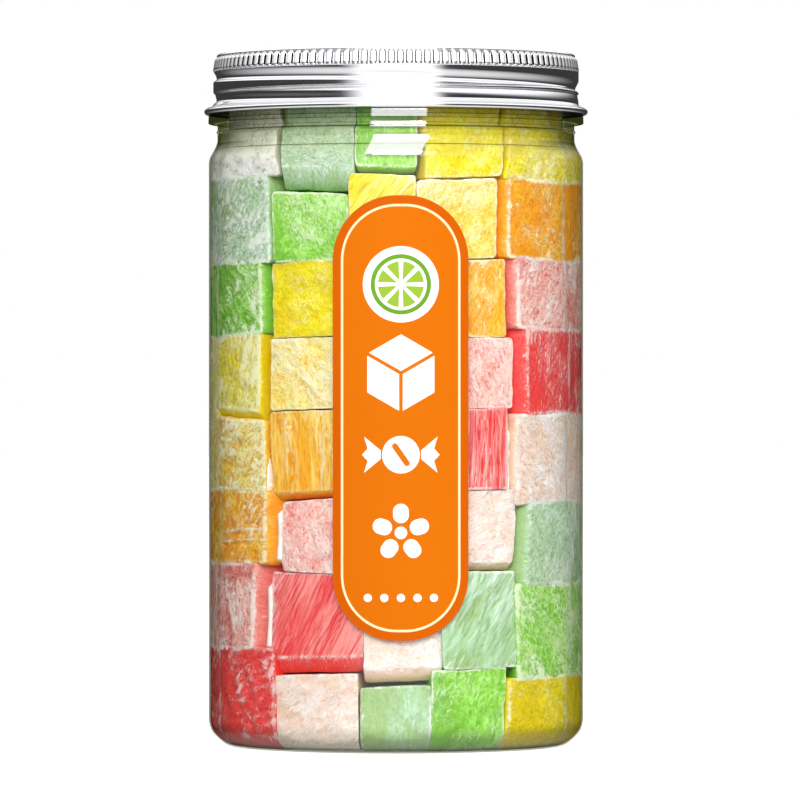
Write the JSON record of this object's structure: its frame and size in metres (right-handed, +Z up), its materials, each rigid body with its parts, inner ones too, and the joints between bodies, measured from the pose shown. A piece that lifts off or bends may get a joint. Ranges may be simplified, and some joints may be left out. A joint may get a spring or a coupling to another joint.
{
  "type": "jar of amber sugar candy",
  "caption": "Clear screw-top jar with a knurled metal cap and a pill-shaped label, filled with cut blocks of coloured jelly sugar candy.",
  "frame": {"origin": "on the jar's axis, on the surface that the jar stands on", "axes": "+Z up along the jar's axis, the label faces -Y"},
  "size_m": [0.0666, 0.0666, 0.12],
  "materials": {
    "jar": "clear, gloss",
    "cap": "satin, rolled",
    "label": "smooth printed film",
    "candies": "sugar-crusted jelly in mixed colours"
  },
  "bodies": {
    "root": {"jar": "jar", "cap": "cap", "label": "label", "candies": "candies"}
  },
  "joints": []
}
